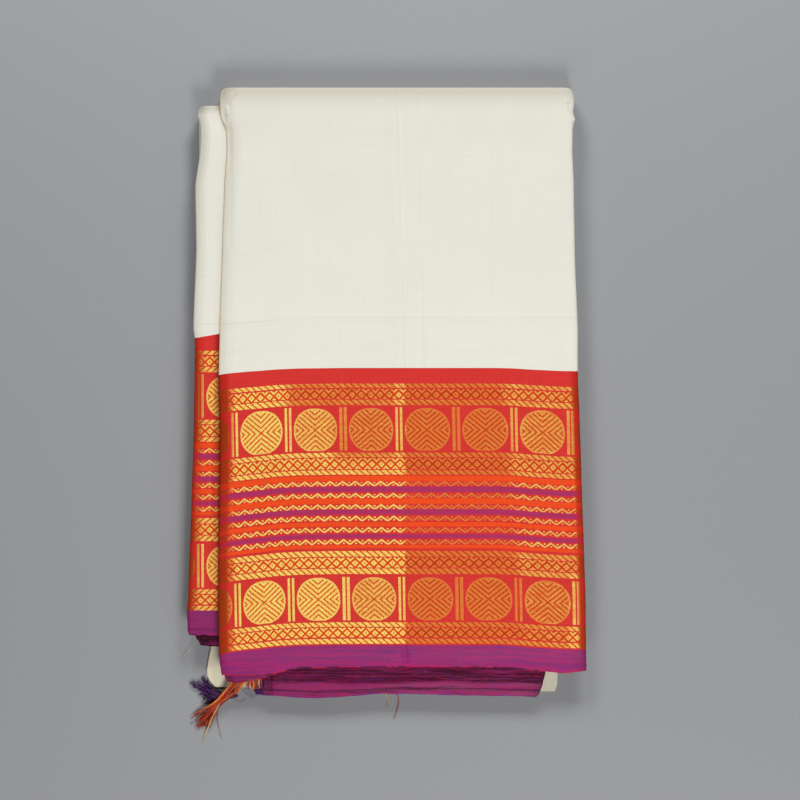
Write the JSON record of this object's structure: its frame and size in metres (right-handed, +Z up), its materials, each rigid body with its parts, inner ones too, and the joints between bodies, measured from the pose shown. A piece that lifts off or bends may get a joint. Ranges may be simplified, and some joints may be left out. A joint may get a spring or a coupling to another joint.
{
  "type": "folded kanchipuram silk saree",
  "caption": "Ivory silk saree folded into a flat rectangular packet, with a wide red and gold woven border, purple selvedge edges and a knotted fringe tassel at one corner.",
  "frame": {"origin": "centre of the bounding box, on the surface that the packet lies on", "axes": "+Z up from the surface, +Y from the free edges towards the top fold, +X to the right as the packet is seen from above"},
  "size_m": [0.3998, 0.64, 0.03],
  "materials": {
    "ivory_silk": "plain woven ivory mulberry silk, soft sheen",
    "red_zari_border": "red silk woven with gold zari rope, diamond, disc and zigzag rows, with thin orange and purple stripes",
    "purple_selvedge": "magenta and purple shot silk, fine crosswise ribs, soft sheen",
    "purple_edges": "dark purple silk edges with a few red threads",
    "layered_silk": "ivory silk folds, red and purple where they pass the border",
    "orange_threads": "loose orange and red silk threads",
    "purple_threads": "loose dark purple silk threads"
  },
  "bodies": {
    "root": {"front_body": "ivory_silk", "front_border": "red_zari_border", "front_selvedge": "purple_selvedge", "front_under_selvedge": "purple_edges", "back_body": "ivory_silk", "left_body": "ivory_silk", "left_border": "red_zari_border", "left_selvedge": "purple_selvedge", "left_under_selvedge_1": "purple_edges", "left_under_selvedge_2": "purple_edges", "inner_selvedge_1": "purple_edges", "inner_selvedge_2": "purple_edges", "inner_selvedge_3": "purple_edges", "inner_selvedge_4": "purple_edges", "hidden_layers": "layered_silk", "tassel_orange": "orange_threads", "tassel_purple": "purple_threads", "tassel_short": "orange_threads", "inner_fringe": "orange_threads"}
  },
  "joints": []
}
